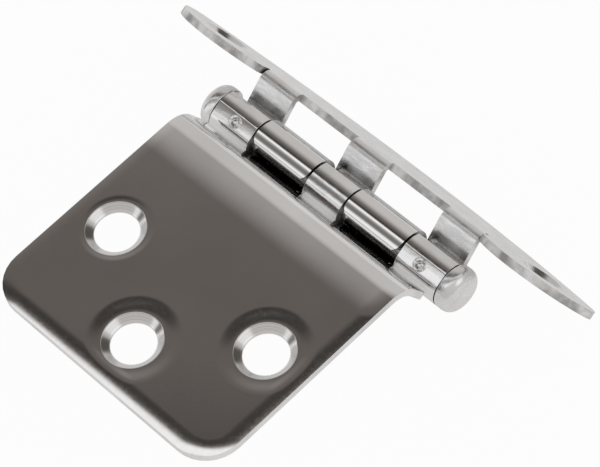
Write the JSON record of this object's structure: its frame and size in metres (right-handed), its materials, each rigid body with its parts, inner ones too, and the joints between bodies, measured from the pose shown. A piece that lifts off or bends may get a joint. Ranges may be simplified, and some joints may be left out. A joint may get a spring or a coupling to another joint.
{
  "type": "concealed hinge",
  "caption": "Polished stainless cabinet hinge: a bent square leaf and a boat-shaped strip with rolled knuckles on one pin.",
  "frame": {"origin": "midway between the door leaf's two nearer screw holes, on the leaf's back", "axes": "+X along the pin, +Z square to the door leaf's face, the pin towards +Y"},
  "size_m": [0.069, 0.0515, 0.0162],
  "materials": {
    "polished_steel": "mirror polished stainless steel",
    "satin_steel": "satin stainless steel"
  },
  "bodies": {
    "frame": {"frame_leaf": "satin_steel", "pin": "satin_steel"},
    "door": {"door_leaf": "polished_steel"}
  },
  "joints": [
    {"name": "hinge", "type": "hinge", "parent": "door", "child": "frame", "pos_m": [0, 0.0232, -0.0064], "axis": [1, 0, 0], "range_deg": [-118, 60]}
  ]
}
